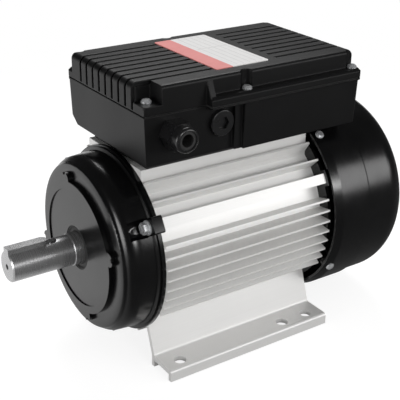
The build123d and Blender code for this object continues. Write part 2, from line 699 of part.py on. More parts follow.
def stator_core():
    section = Circle(BORE_R) - Circle(ROTOR_R + AIR_GAP)
    for i in range(SLOTS):
        section -= slot_sector(i, SLOT_IN_R, SLOT_OUT_R, 0)
        section -= Rot(0, 0, 360 / SLOTS * i) * Pos(SLOT_IN_R, 0) * Rectangle(2 * (SLOT_IN_R - ROTOR_R), SLOT_MOUTH)
    return extrude(across(-STACK_LENGTH / 2) * section, -STACK_LENGTH)


def winding():
    half = STACK_LENGTH / 2
    bars = Sketch()
    for i in range(SLOTS):
        bars += slot_sector(i, END_TURN_IN_R, SLOT_OUT_R, SLOT_LINER)
    copper = extrude(across(-half) * bars, -STACK_LENGTH)
    for start, end in ((-half - END_TURN_LENGTH, -half), (half, half + END_TURN_LENGTH)):
        turns = ring(start, end, END_TURN_IN_R, END_TURN_OUT_R)
        far = start if start < 0 else end
        edges = [e for e in turns.edges().filter_by(GeomType.CIRCLE) if abs(e.center().X - far) < 0.01]
        copper += fillet(edges, 5)
    return copper


def rotor_cage():
    """The two cast end rings with their stirring paddles."""
    rings = []
    half = STACK_LENGTH / 2
    for way in (-1, 1):
        near, far = way * half, way * (half + CAGE_RING_LENGTH)
        end_ring = ring(min(near, far), max(near, far), CAGE_RING_IN_R, CAGE_RING_R)
        tip = far + way * 4
        for i in range(CAGE_PADDLES):
            paddle = Pos((CAGE_RING_IN_R + CAGE_RING_R) / 2, 0) * Rectangle(CAGE_RING_R - CAGE_RING_IN_R - 4, 3)
            end_ring += extrude(across(max(far, tip), 360 / CAGE_PADDLES * i) * paddle, abs(tip - far))
        rings.append(end_ring)
    return rings


def governor_side(turn, plane_x=0.0):
    """A plane along the shaft, turned to one weight; its x runs along the shaft and its y outwards."""
    y, z = out_at(turn, 0)
    across_dir = (0, -sin(radians(turn)), -cos(radians(turn)))
    return Plane((plane_x, y, z), x_dir=(1, 0, 0), z_dir=across_dir)


def governor_bar(turn, points, width, offset=0.0):
    """A bar with an outline of (x, radius) points, centred on one weight."""
    outline = Polygon(*[(x, r) for x, r in points], align=None)
    plane = governor_side(turn)
    start = Plane(plane.origin + plane.z_dir * (offset - width / 2), x_dir=plane.x_dir, z_dir=plane.z_dir)
    return extrude(start * outline, width)


def governor_pin(turn, width, radius, x=PIVOT_X, r=PIVOT_R):
    """A round bar across the shaft's direction at one weight."""
    plane = governor_side(turn)
    start = Plane(plane.origin - plane.z_dir * width / 2, x_dir=plane.x_dir, z_dir=plane.z_dir)
    return extrude(start * Pos(x, r) * Circle(radius), width)


def governor_plate():
    """Hub and plate fixed to the shaft, with two pairs of arms that carry the weights' pins."""
    plate_end = GOVERNOR_X + GOVERNOR_PLATE_T
    plate = ring(GOVERNOR_X, plate_end, ROTOR_SEAT_R, GOVERNOR_PLATE_R)
    plate += ring(GOVERNOR_X - 1, plate_end, ROTOR_SEAT_R, GOVERNOR_HUB_R)
    low, high = PIVOT_R - 2.2, PIVOT_R + 2.2
    for turn in (90, 270):
        for side in (-1, 1):
            offset = side * (GOVERNOR_ARM_GAP + GOVERNOR_ARM_T) / 2
            arm = governor_bar(turn, [(GOVERNOR_X, low), (PIVOT_X + 2, low), (PIVOT_X + 2, high), (GOVERNOR_X, high)],
                               GOVERNOR_ARM_T, offset)
            plate += arm
        plate += governor_pin(turn, GOVERNOR_ARM_GAP + 2 * GOVERNOR_ARM_T, PIVOT_PIN_R)
    return plate


def flyweight(turn):
    """Weight, side webs to the pin, and the toe that sits in the collar's groove."""
    block_points = [(WEIGHT_START, WEIGHT_IN_R), (WEIGHT_END, WEIGHT_IN_R), (WEIGHT_END, WEIGHT_OUT_R - 1),
                    (WEIGHT_END - 1, WEIGHT_OUT_R), (WEIGHT_START + 1, WEIGHT_OUT_R), (WEIGHT_START, WEIGHT_OUT_R - 1)]
    weight = governor_bar(turn, block_points, WEIGHT_WIDTH)
    eye = PIVOT_PIN_R + 1.6
    weight += governor_pin(turn, WEIGHT_WIDTH, eye)
    link_points = [(WEIGHT_END - 2, WEIGHT_IN_R), (PIVOT_X, PIVOT_R - 1), (PIVOT_X, PIVOT_R + eye),
                   (WEIGHT_END - 2, WEIGHT_OUT_R - 3)]
    weight += governor_bar(turn, link_points, WEIGHT_WIDTH)
    toe_r = PIVOT_R - TOE_REACH
    arm = TOE_ARM_T / 2
    toe_points = [(PIVOT_X - arm, toe_r), (PIVOT_X + arm, toe_r), (PIVOT_X + arm, PIVOT_R - 1),
                  (PIVOT_X - arm, PIVOT_R - 1)]
    weight += governor_bar(turn, toe_points, TOE_WIDTH)
    weight += governor_pin(turn, TOE_WIDTH, TOE_R, PIVOT_X, toe_r)
    return weight - governor_pin(turn, WEIGHT_WIDTH + 2, PIVOT_PIN_R + PIVOT_PLAY)


def governor_collar():
    """Sliding collar: a groove for the toes and a lip that works the switch."""
    bore = ROTOR_SEAT_R + COLLAR_PLAY
    groove_x0 = PIVOT_X - COLLAR_GROOVE / 2
    groove_x1 = PIVOT_X + COLLAR_GROOVE / 2
    return turned(
        (COLLAR_START, bore), (COLLAR_END, bore), (COLLAR_END, COLLAR_LIP_R), (COLLAR_END - 1.5, COLLAR_LIP_R),
        (groove_x1, COLLAR_FLANGE_R), (groove_x1, COLLAR_GROOVE_R), (groove_x0, COLLAR_GROOVE_R),
        (groove_x0, COLLAR_FLANGE_R), (COLLAR_START, COLLAR_FLANGE_R))


def switch_board():
    """Insulating board on the fan end shield, with the fixed contact and the blade's bracket."""
    board = ring(SWITCH_BOARD_X, SWITCH_BOARD_X + SWITCH_BOARD_T, SWITCH_BOARD_IN_R, SWITCH_BOARD_OUT_R)
    half = SWITCH_BOARD_HALF
    board = board & block(SWITCH_BOARD_X, REAR_FACE_X, -half, half, 0, SHAFT_HEIGHT - 9)
    pivot_z = SHAFT_HEIGHT - BLADE_PIVOT_R
    blade_x = COLLAR_END + BLADE_GAP + BLADE_T / 2
    for side in (-1, 1):
        y0 = side * (BLADE_WIDTH / 2 + 0.4)
        y1 = side * (BLADE_WIDTH / 2 + 1.6)
        board += block(blade_x - 2, SWITCH_BOARD_X, min(y0, y1), max(y0, y1), pivot_z - 3, pivot_z + 3)
    board += side_pin(blade_x, pivot_z, BLADE_WIDTH + 3.2, BLADE_PIN_R)
    return board


def side_pin(x, z, width, radius):
    """A round bar along Y, centred on the shaft's plane."""
    start = Plane((x, -width / 2, z), x_dir=(1, 0, 0), z_dir=(0, 1, 0))
    return extrude(start * Circle(radius), width)


def fixed_contact():
    """Contact rivet in the switch board, facing the blade's own contact."""
    z = SHAFT_HEIGHT - CONTACT_AT_R
    blade_back = COLLAR_END + BLADE_GAP + BLADE_T
    return rod(blade_back + CONTACT_T + CONTACT_GAP, SWITCH_BOARD_X, CONTACT_R, 0, z)


def switch_blade():
    """Rocking contact blade that the collar's lip holds shut while the motor stands."""
    x = COLLAR_END + BLADE_GAP
    pivot_z = SHAFT_HEIGHT - BLADE_PIVOT_R
    half = BLADE_WIDTH / 2
    blade = block(x, x + BLADE_T, -half, half, SHAFT_HEIGHT - BLADE_TAIL_R, SHAFT_HEIGHT - BLADE_TIP_R)
    blade += side_pin(x + BLADE_T / 2, pivot_z, BLADE_WIDTH, BLADE_PIN_R + 0.9)
    blade += rod(x + BLADE_T, x + BLADE_T + CONTACT_T, CONTACT_R, 0, SHAFT_HEIGHT - CONTACT_AT_R)
    return blade - side_pin(x + BLADE_T / 2, pivot_z, BLADE_WIDTH + 2, BLADE_PIN_R + PIVOT_PLAY)


def fan():
    start = REAR_FACE_X + FAN_GAP
    end = start + FAN_LENGTH
    wheel = ring(start, end, FAN_SEAT_R, FAN_HUB_R)
    wheel += ring(start, start + FAN_DISC_T, FAN_SEAT_R, FAN_R - 16)
    blade = Pos((FAN_HUB_R + FAN_R) / 2 - 1, 0) * Rectangle(FAN_R - FAN_HUB_R + 2, FAN_BLADE_T)
    for i in range(FAN_BLADES):
        wheel += extrude(across(end, 360 / FAN_BLADES * i) * blade, FAN_LENGTH)
    return wheel & ring(start, end, FAN_SEAT_R, FAN_R)


def fan_clip():
    end = REAR_FACE_X + FAN_GAP + FAN_LENGTH
    return ring(end, end + 1.5, FAN_SEAT_R, FAN_SEAT_R + 4)


def box_form(inset):
    """The base's tray, or its hollow when inset by the wall."""
    front, back, half = BOX_FRONT + inset, BOX_BACK - inset, BOX_HALF - inset
    foot = BOX_UNDERSIDE + inset
    corner = max(BOX_CORNER_R - inset, 1.0)
    outline = Pos((front + back) / 2, BOX_Y) * RectangleRounded(back - front, 2 * half, corner)
    tray = extrude(Plane.XY.offset(BOX_RIM) * outline, foot - BOX_RIM, taper=BOX_DRAFT)
    far = BOX_Y + BOX_HALF - inset + 2
    near = BOX_Y - BOX_HALF
    tray -= block(BOX_FRONT - 9, RECESS_END + inset, 2 * near, RECESS_Y + inset, 0, LID_TOP)
    cut_y = BOX_Y + BOX_HALF - inset - SIDE_CHAMFER_WIDTH
    wedge = Polygon((cut_y, foot), (far, foot), (far, foot + SIDE_CHAMFER_HEIGHT + 2), align=None)
    side = Plane((BOX_FRONT - 9, 0, 0), x_dir=(0, 1, 0), z_dir=(1, 0, 0))
    tray -= extrude(side * wedge, BOX_BACK - BOX_FRONT + 20)
    arch = COWL_SKIRT_R + COWL_CLEARANCE + inset
    return tray - rod(END_X - inset, BOX_BACK + 9, arch)


def rim_outline(inset=0.0):
    """The rim's outline: full width, stepped in at the near front where the gland sits."""
    front, back = BOX_FRONT + inset, FLANGE_BACK - inset
    half = FLANGE_HALF - inset
    outline = Pos((front + back) / 2, BOX_Y) * RectangleRounded(back - front, 2 * half, BOX_CORNER_R)
    edge = RECESS_Y + inset
    outside = BOX_Y - half - 9
    step = Pos((BOX_FRONT - 9 + LEDGE_START) / 2, (edge + outside) / 2)
    return outline - step * Rectangle(LEDGE_START - BOX_FRONT + 9, edge - outside)


def lid_screws():
    near = [(x, BOX_Y - LID_SCREW_Y) for x in LID_SCREW_X[1:]]
    far = [(x, BOX_Y + LID_SCREW_Y) for x in LID_SCREW_X]
    return [LID_SCREW_NEAR_FRONT] + near + far


def box_base():
    hollow = box_form(BOX_WALL)
    base = box_form(0) - hollow
    rim_z = BOX_RIM - BOX_FLANGE_T
    base += extrude(Plane.XY.offset(rim_z) * rim_outline(), BOX_FLANGE_T) - hollow
    half_step = block(RECESS_END - PILASTER_LENGTH, RECESS_END + BOX_WALL, (RECESS_Y + BOX_Y - BOX_HALF) / 2,
                      RECESS_Y + BOX_WALL, BOX_UNDERSIDE, rim_z)
    base += half_step - hollow
    for x, y in lid_screws():
        base += post(x, y, BOX_FLOOR + 10, BOX_RIM, LID_BOSS_R) & (box_form(0) + block(x - 9, x + 9, y - 9, y + 9, rim_z, BOX_RIM))
    base += block(NECK_FRONT, NECK_BACK, -NECK_HALF, NECK_HALF, NECK_Z, BOX_UNDERSIDE)
    for x in CRADLE_X:
        rib = block(x - CRADLE_T / 2, x + CRADLE_T / 2, BOX_Y - BOX_HALF, BOX_Y + BOX_HALF, BOX_FLOOR - 1, CAP_Z - 8)
        base += rib & box_form(BOX_WALL / 2)
    for side in (-1, 1):
        base += post(BOARD_X, side * (BOARD_WIDTH / 2 - 6), BOX_FLOOR - 1, BOX_FLOOR + BOARD_LIFT, BOARD_POST_R)
    for y, radius in ((-CAP_Y, RUN_CAP_R), (CAP_Y, START_CAP_R)):
        base -= rod(CAP_X, CAP_X + CAP_LENGTH, radius, y, CAP_Z)
    for x, y in lid_screws():
        base -= post(x, y, BOX_RIM - LID_SCREW_LENGTH, BOX_RIM, LID_SCREW_R + PLAY)
    for x, y in box_screws():
        base -= post(x, y, NECK_Z - 1, BOX_FLOOR + 1, BOX_SCREW_R + PLAY)
    base -= wire_hole(NECK_Z - 1, BOX_FLOOR + 1)
    for x, radius in ((GLAND_X, GLAND_THREAD_R), (PLUG_X, GLAND_THREAD_R)):
        base -= side_rod(x, RECESS_Y - 1, RECESS_Y + BOX_WALL + 1, radius)
    return base


def side_rod(x, y0, y1, radius):
    """A round bar along Y at the gland's height."""
    start = Plane((x, y0, GLAND_Z), x_dir=(1, 0, 0), z_dir=(0, 1, 0))
    return extrude(start * Circle(radius), y1 - y0)


def side_hex(x, y0, y1, across_flats, turn=0):
    start = Plane((x, y0, GLAND_Z), x_dir=(1, 0, 0), z_dir=(0, 1, 0))
    hexagon = Rot(0, 0, turn) * RegularPolygon(across_flats / 2, 6, major_radius=False)
    return extrude(start * hexagon, y1 - y0)


def lid_gasket():
    flat = extrude(Plane.XY.offset(BOX_RIM) * rim_outline(1.0), LID_GASKET_T)
    flat -= lid_hollow()
    for x, y in lid_screws():
        flat -= post(x, y, BOX_RIM, LID_Z, LID_SCREW_R + PLAY)
    return flat


def lid_hollow():
    front, back = BOX_FRONT + LID_ROOF, LID_BACK - LID_ROOF
    near, far = BOX_Y - LID_HALF + LID_WALL, BOX_Y + LID_HALF - LID_WALL
    hollow = block(front, back, near, far, BOX_RIM - 1, LID_CEILING)
    hollow -= block(front, LID_NOTCH_X + LID_WALL, near, LID_NOTCH_Y + LID_WALL, BOX_RIM - 1, LID_TOP)
    for x, y in lid_screws():
        hollow -= post(x, y, BOX_RIM - 1, LID_TOP, LID_POCKET_R + LID_POCKET_WALL)
    return hollow


def grooves():
    cuts = []
    deep = LID_TOP - GROOVE_DEPTH
    for i in range(GROOVES):
        y0 = BOX_Y + GROOVE_PITCH * (i - (GROOVES - 1) / 2) - GROOVE_WIDTH / 2
        y1 = y0 + GROOVE_WIDTH
        cuts.append(block(BOX_FRONT - 1, GROOVE_FRONT_END, y0, y1, deep, LID_TOP + 1))
        cuts.append(block(BOX_FRONT - 1, BOX_FRONT + GROOVE_DEPTH, y0, y1, LID_Z + 1, LID_TOP + 1))
        cuts.append(block(GROOVE_BACK_START, LID_BACK + 1, y0, y1, deep, LID_TOP + 1))
        cuts.append(block(LID_BACK - GROOVE_DEPTH, LID_BACK + 1, y0, y1, LID_LEDGE, LID_TOP + 1))
    return cuts


def lid():
    near = BOX_Y - LID_HALF
    top = block(BOX_FRONT, LID_BACK, near, BOX_Y + LID_HALF, LID_Z, LID_TOP)
    upper = top.faces().sort_by(Axis.Z)[-1].edges()
    top = fillet(upper.filter_by(Axis.Y), LID_END_R)
    upper = top.faces().sort_by(Axis.Z)[-1].edges()
    top = fillet(upper.filter_by(Axis.X), LID_EDGE_R)
    ledge = extrude(Plane.XY.offset(LID_Z) * rim_outline(), LID_LEDGE - LID_Z)
    ledge = chamfer(ledge.faces().sort_by(Axis.Z)[-1].edges(), LEDGE_CHAMFER)
    cover = top + ledge
    gusset = Polygon((near, LID_TOP - 2), (BOX_Y - FLANGE_HALF, LID_Z + 2), (near, LID_Z + 2), align=None)
    cover += extrude(Plane((LEDGE_START, 0, 0), x_dir=(0, 1, 0), z_dir=(1, 0, 0)) * gusset, GUSSET_T)
    cover -= block(BOX_FRONT - 1, LID_NOTCH_X, near - 1, LID_NOTCH_Y, LID_LEDGE, LID_TOP + 1)
    cover -= lid_hollow()
    for x, y in lid_screws():
        cover += post(x, y, LID_Z, LID_LEDGE, LID_BOSS_R) & extrude(Plane.XY.offset(LID_Z) * rim_outline(), LID_LEDGE - LID_Z)
        cover -= post(x, y, LID_LEDGE, LID_TOP + 1, LID_POCKET_R)
        cover -= post(x, y, LID_Z, LID_LEDGE, LID_SCREW_R + PLAY)
    cut = grooves()
    return cover.cut(*cut)


def lid_screw(x, y):
    shank = post(x, y, LID_LEDGE - LID_SCREW_LENGTH, LID_LEDGE, LID_SCREW_R)
    head = post(x, y, LID_LEDGE, LID_LEDGE + LID_SCREW_HEAD, LID_SCREW_HEAD_R)
    head = chamfer(head.edges().filter_by(GeomType.CIRCLE).sort_by(Axis.Z)[-1], LID_SCREW_HEAD / 2)
    return shank + head


def nameplate():
    plate = Pos(PLATE_X, BOX_Y, LID_TOP + PLATE_T / 2) * Box(PLATE_LENGTH, PLATE_WIDTH, PLATE_T)
    return fillet(plate.edges().filter_by(Axis.Z), 1.5)


def pad_gasket():
    flat = block(NECK_FRONT, NECK_BACK, -NECK_HALF, NECK_HALF, PAD_Z, NECK_Z)
    for x, y in box_screws():
        flat -= post(x, y, PAD_Z, NECK_Z, BOX_SCREW_R + PLAY)
    return flat - wire_hole(PAD_Z - 1, NECK_Z + 1)


def box_screw(x, y):
    shank = post(x, y, PAD_Z - PAD_PLATE, BOX_FLOOR, BOX_SCREW_R - PLAY)
    head = post(x, y, BOX_FLOOR, BOX_FLOOR + BOX_SCREW_HEAD, BOX_SCREW_HEAD_R)
    return shank + head


def gland_body():
    """Collar, thread through the wall, and the hollow throat that the seal sits in."""
    face = RECESS_Y
    body = side_hex(GLAND_X, face - GLAND_COLLAR, face, GLAND_HEX)
    body += side_rod(GLAND_X, face, face + GLAND_THREAD, GLAND_THREAD_R - PLAY)
    return body - side_rod(GLAND_X, face - GLAND_COLLAR, face + GLAND_THREAD, GLAND_BORE_R + 1)


def gland_nut():
    start = RECESS_Y - GLAND_COLLAR
    mid = start - GLAND_NUT
    end = mid - GLAND_DOME
    nut = side_hex(GLAND_X, mid, start, GLAND_HEX)
    dome = side_rod(GLAND_X, end, mid, GLAND_DOME_R)
    rim = dome.edges().filter_by(GeomType.CIRCLE).sort_by(Axis.Y)[0]
    nut += fillet(rim, 2.5)
    return nut - side_rod(GLAND_X, end, start, GLAND_SEAL_R)


def gland_seal():
    start = RECESS_Y - GLAND_COLLAR
    end = start - GLAND_NUT - GLAND_DOME + 1
    return side_rod(GLAND_X, end, start, GLAND_SEAL_R) - side_rod(GLAND_X, end, start, GLAND_BORE_R)


def locknut(x):
    start = RECESS_Y + BOX_WALL
    nut = side_hex(x, start, start + LOCKNUT_T, LOCKNUT_HEX, 30)
    return nut - side_rod(x, start, start + LOCKNUT_T, GLAND_THREAD_R)


def plug():
    face = RECESS_Y
    head = side_rod(PLUG_X, face - PLUG_HEAD, face, PLUG_R)
    rim = head.edges().filter_by(GeomType.CIRCLE).sort_by(Axis.Y)[0]
    head = fillet(rim, 1)
    head += side_rod(PLUG_X, face, face + GLAND_THREAD, GLAND_THREAD_R - PLAY)
    return head - side_hex(PLUG_X, face - PLUG_HEAD, face - PLUG_HEAD + PLUG_HEX_DEPTH, PLUG_HEX)


def capacitor(y, radius):
    can = rod(CAP_X, CAP_X + CAP_LENGTH, radius, y, CAP_Z)
    ends = can.edges().filter_by(GeomType.CIRCLE)
    can = fillet(ends, 1.5)
    for offset in (-6, 6):
        can += rod(CAP_X - CAP_TERMINAL, CAP_X, CAP_TERMINAL_R, y + offset, CAP_Z)
    return can


def tie(y, radius):
    x = sum(CRADLE_X) / 2
    outer = rod(x - TIE_WIDTH / 2, x + TIE_WIDTH / 2, radius + TIE_T, y, CAP_Z)
    return outer - rod(x - TIE_WIDTH / 2, x + TIE_WIDTH / 2, radius, y, CAP_Z)


def studs():
    return [(BOARD_X + (i - 1) * STUD_PITCH_X, side * STUD_PITCH_Y / 2) for side in (-1, 1) for i in range(3)]


def terminal_board():
    z = BOX_FLOOR + BOARD_LIFT
    board = block(BOARD_X - BOARD_LENGTH / 2, BOARD_X + BOARD_LENGTH / 2, -BOARD_WIDTH / 2, BOARD_WIDTH / 2,
                  z, z + BOARD_T)
    board += block(BOARD_X - BOARD_LENGTH / 2, BOARD_X + BOARD_LENGTH / 2, -1.5, 1.5, z + BOARD_T, z + BOARD_T + 6)
    for x, y in studs():
        board -= post(x, y, z, z + BOARD_T, STUD_R)
    return board


def stud_set(x, y):
    z = BOX_FLOOR + BOARD_LIFT
    stud = post(x, y, z - 2, z + STUD_LENGTH, STUD_R - PLAY)
    nut = extrude(Plane.XY.offset(z + BOARD_T + LINK_T) * Pos(x, y) * RegularPolygon(NUT_HEX / 2, 6, major_radius=False), NUT_T)
    return stud + nut


def link(y):
    """A brass bridge between the first two studs of a row."""
    z = BOX_FLOOR + BOARD_LIFT + BOARD_T
    x0, x1 = BOARD_X - STUD_PITCH_X, BOARD_X
    bar = block(x0 - 5, x1 + 5, y - LINK_WIDTH / 2, y + LINK_WIDTH / 2, z, z + LINK_T)
    for x in (x0, x1):
        bar -= post(x, y, z, z + LINK_T, STUD_R)
    return bar


front_x = FRONT_INNER_X
rear_x = REAR_INNER_X - REAR_BEARING_WIDTH

save("frame_housing", housing())
save("drive_end_shield", front_shield())
save("fan_end_shield", rear_shield())
save("drive_end_screws", *[shield_screw(a, -END_X - EAR_THICKNESS, -1) for a in RIB_ANGLES])
save("fan_end_screws", *[shield_screw(a, END_X + EAR_THICKNESS, 1) for a in RIB_ANGLES])
save("stator_core", stator_core())
save("stator_winding", winding())
front_outer, front_inner = bearing(front_x, FRONT_BEARING_WIDTH, FRONT_BEARING_BORE_R, FRONT_BEARING_R)
rear_outer, rear_inner = bearing(rear_x, REAR_BEARING_WIDTH, REAR_BEARING_BORE_R, REAR_BEARING_R)
save("front_bearing_outer_ring", front_outer)
save("front_bearing_inner_ring", front_inner)
save("rear_bearing_outer_ring", rear_outer)
save("rear_bearing_inner_ring", rear_inner)
save("front_bearing_balls", ball_set(front_x, FRONT_BEARING_WIDTH, FRONT_BEARING_BORE_R, FRONT_BEARING_R, FRONT_BALLS))
save("rear_bearing_balls", ball_set(rear_x, REAR_BEARING_WIDTH, REAR_BEARING_BORE_R, REAR_BEARING_R, REAR_BALLS))
save("shaft_seal", turned(
    (FRONT_INNER_X, FRONT_SEAL_R), (FACE_X + FACE_RECESS, FRONT_SEAL_R), (FACE_X + FACE_RECESS, SEAL_LIP_R),
    (FACE_X - SEAL_LIP_PROUD / 2, SEAL_LIP_R - 1), (FACE_X - SEAL_LIP_PROUD / 2, FRONT_BEARING_BORE_R + RUNNING_PLAY),
    (FRONT_INNER_X, FRONT_BEARING_BORE_R + RUNNING_PLAY)))
save("wave_washer", ring(rear_x - WAVE_WASHER_T, rear_x, REAR_BEARING_R - BEARING_RING_WALL, REAR_BEARING_R))
save("shaft", shaft())
save("shaft_key", key())
save("rotor_core", ring(-STACK_LENGTH / 2, STACK_LENGTH / 2, ROTOR_SEAT_R, ROTOR_R))
save("rotor_cage", *rotor_cage())
save("governor_plate", governor_plate())
save("flyweight_upper", flyweight(90))
save("flyweight_lower", flyweight(270))
save("governor_collar", governor_collar())
save("switch_board", switch_board())
save("switch_fixed_contact", fixed_contact())
save("switch_blade", switch_blade())
save("cooling_fan", fan())
save("fan_clip", fan_clip())
save("fan_cowl", cowl())
save("cowl_screws", *[cowl_screw(a) for a in COWL_SCREW_ANGLES])
save("terminal_box_base", box_base())
save("terminal_box_lid", lid())
save("lid_gasket", lid_gasket())
save("box_gasket", pad_gasket())
save("lid_screws", *[lid_screw(x, y) for x, y in lid_screws()])
save("box_screws", *[box_screw(x, y) for x, y in box_screws()])
save("nameplate", nameplate())
save("gland_body", gland_body())
save("gland_nut", gland_nut())
save("gland_seal", gland_seal())
save("gland_locknut", locknut(GLAND_X))
save("blanking_plug", plug())
save("plug_locknut", locknut(PLUG_X))
save("run_capacitor", capacitor(-CAP_Y, RUN_CAP_R))
save("start_capacitor", capacitor(CAP_Y, START_CAP_R))
save("capacitor_ties", tie(-CAP_Y, RUN_CAP_R), tie(CAP_Y, START_CAP_R))
save("terminal_board", terminal_board())
save("terminal_studs", *[stud_set(x, y) for x, y in studs()])
save("terminal_links", *[link(side * STUD_PITCH_Y / 2) for side in (-1, 1)])
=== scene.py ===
# %% [markdown]
# A single-phase motor on feet: finned aluminium housing, black end shields and fan cowl, and on
# top a black terminal box that holds two capacitors. The solids come packed from the CAD model and
# stand still as the frame. This notebook gives them their finishes, draws the shaft seal anew, and
# sets up the camera and the studio.

# %% Load the frame
import bpy
import bmesh
import json
from math import cos, pi, radians, sin
from mathutils import Matrix, Vector


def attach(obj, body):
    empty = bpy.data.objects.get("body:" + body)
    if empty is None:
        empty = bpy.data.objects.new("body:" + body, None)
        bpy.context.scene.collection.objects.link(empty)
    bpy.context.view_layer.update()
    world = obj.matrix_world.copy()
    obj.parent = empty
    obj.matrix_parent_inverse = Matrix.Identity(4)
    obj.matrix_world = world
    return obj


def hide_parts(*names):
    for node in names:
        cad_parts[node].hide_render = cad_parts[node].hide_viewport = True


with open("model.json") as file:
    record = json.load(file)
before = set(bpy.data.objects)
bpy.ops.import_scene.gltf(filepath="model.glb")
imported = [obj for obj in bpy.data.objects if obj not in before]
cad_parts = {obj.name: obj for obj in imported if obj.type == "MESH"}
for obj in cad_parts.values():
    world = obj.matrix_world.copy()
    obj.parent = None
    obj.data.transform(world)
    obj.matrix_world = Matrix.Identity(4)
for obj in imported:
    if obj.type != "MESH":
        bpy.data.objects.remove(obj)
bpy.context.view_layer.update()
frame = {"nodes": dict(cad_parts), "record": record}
nodes = frame["nodes"]
SHAFT_Z = 0.090

# %% [markdown]
# The camera stands in front of the drive end, a little above the terminal box, and looks down at
# about 25 degrees. Its place was solved from the standard sizes of the feet, shaft and key.

# %% Camera
CAMERA_AT = Vector((-0.3809, -0.5631, 0.4149))
CAMERA_YAW = radians(34.2)
CAMERA_PITCH = radians(24.68)
CAMERA_ROLL = radians(0.73)
FOCAL_PIXELS = 909.9
IMAGE_PIXELS = 400.0


def add_camera():
    level = cos(CAMERA_PITCH)
    forward = Vector((sin(CAMERA_YAW) * level, cos(CAMERA_YAW) * level, -sin(CAMERA_PITCH)))
    right = Vector((cos(CAMERA_YAW), -sin(CAMERA_YAW), 0))
    up = right.cross(forward)
    rolled_right = right * cos(CAMERA_ROLL) + up * sin(CAMERA_ROLL)
    rolled_up = up * cos(CAMERA_ROLL) - right * sin(CAMERA_ROLL)
    data = bpy.data.cameras.new("camera")
    data.sensor_width = 36.0
    data.lens = 36.0 * FOCAL_PIXELS / IMAGE_PIXELS
    data.clip_start = 0.02
    camera = bpy.data.objects.new("camera", data)
    bpy.context.scene.collection.objects.link(camera)
    axes = Matrix((rolled_right, rolled_up, -forward)).transposed().to_4x4()
    camera.matrix_world = Matrix.Translation(CAMERA_AT) @ axes
    bpy.context.scene.camera = camera
    return camera


camera = add_camera()
print("lens", round(camera.data.lens, 1), "mm at", [round(v, 3) for v in CAMERA_AT])

# %% [markdown]
# Every finish below is a small node tree. The two classes here keep those trees readable: a
# value that comes out of a node can be added, multiplied and compared like a number.

# %% Shader helpers
class Value:
    """One output of a node, for use in shader sums."""

    def __init__(self, tree, socket):
        self.tree = tree
        self.socket = socket

    def math(self, operation, *others):
        node = self.tree.nodes.new("ShaderNodeMath")
        node.operation = operation
        for slot, item in zip(node.inputs, (self,) + others):
            put(self.tree, slot, item)
        return Value(self.tree, node.outputs[0])

    def __add__(self, other):
        return self.math("ADD", other)

    def __mul__(self, other):
        return self.math("MULTIPLY", other)

    def __sub__(self, other):
        return self.math("SUBTRACT", other)

    def __truediv__(self, other):
        return self.math("DIVIDE", other)

    def __rsub__(self, other):
        return (self * -1.0) + other

    __radd__ = __add__
    __rmul__ = __mul__

    def over(self, edge):
        return self.math("GREATER_THAN", edge)

    def under(self, edge):
        return self.math("LESS_THAN", edge)

    def clamp(self):
        node = self.tree.nodes.new("ShaderNodeClamp")
        self.tree.links.new(self.socket, node.inputs[0])
        return Value(self.tree, node.outputs[0])


def put(tree, slot, item):
    """Links a value to an input, or sets the input to a plain number or colour."""
    if isinstance(item, Value):
        tree.links.new(item.socket, slot)
    else:
        slot.default_value = item


class Finish:
    """A material with one principled shader."""

    def __init__(self, name, color, roughness, metallic=0.0, **settings):
        self.material = bpy.data.materials.new(name)
        self.material.use_nodes = True
        self.material.diffuse_color = (*color, 1.0)
        self.tree = self.material.node_tree
        self.shader = self.tree.nodes["Principled BSDF"]
        self.set("Base Color", (*color, 1.0))
        self.set("Roughness", roughness)
        self.set("Metallic", metallic)
        for key, value in settings.items():
            self.set(key.replace("_", " "), value)
        place = self.tree.nodes.new("ShaderNodeTexCoord")
        self.place = Value(self.tree, place.outputs["Object"])

    def set(self, name, item):
        put(self.tree, self.shader.inputs[name], item)

    def node(self, kind, settings=None, inputs=None, output=0):
        node = self.tree.nodes.new("ShaderNode" + kind)
        for key, value in (settings or {}).items():
            setattr(node, key, value)
        for key, value in (inputs or {}).items():
            put(self.tree, node.inputs[key], value)
        return Value(self.tree, node.outputs[output])

    def stretched(self, x, y, z):
        """Object coordinates scaled by three factors."""
        return self.node("VectorMath", {"operation": "MULTIPLY"}, {0: self.place, 1: (x, y, z)})

    def noise(self, scale, detail=2.0, where=None, roughness=0.5):
        return self.node("TexNoise", {}, {"Vector": where or self.place, "Scale": scale, "Detail": detail,
                                          "Roughness": roughness})

    def parts(self):
        """The three object coordinates, in metres."""
        node = self.tree.nodes.new("ShaderNodeSeparateXYZ")
        self.tree.links.new(self.place.socket, node.inputs[0])
        return [Value(self.tree, out) for out in node.outputs]

    def around_shaft(self):
        """Coordinates of a turned surface: along X, and the radius from the shaft's axis."""
        x, y, z = self.parts()
        height = z - SHAFT_Z
        radius = (y * y + height * height).math("SQRT")
        return x, radius

    def join(self, x, y, z):
        return self.node("CombineXYZ", {}, {0: x, 1: y, 2: z})

    def between(self, share, first, second):
        """A colour that goes from first to second with share."""
        colors = {6: self.color(first), 7: self.color(second), 0: share}
        return self.node("Mix", {"data_type": "RGBA"}, colors, output=2)

    def color(self, item):
        return item if isinstance(item, Value) else (*item, 1.0)

    def vary(self, name, share, low, high):
        """Drives one input of the shader between two numbers."""
        self.set(name, low + (high - low) * share)

    def bump(self, height, distance, strength=1.0, over=None):
        inputs = {"Height": height, "Distance": distance, "Strength": strength}
        if over:
            inputs["Normal"] = over
        self.set("Normal", self.node("Bump", {}, inputs))


print("helpers ready")

# %% [markdown]
# The housing is an aluminium extrusion. The die leaves fine straight lines along its length, and
# its natural skin is bright but not mirror-like. Lines are noise that is stretched along X.

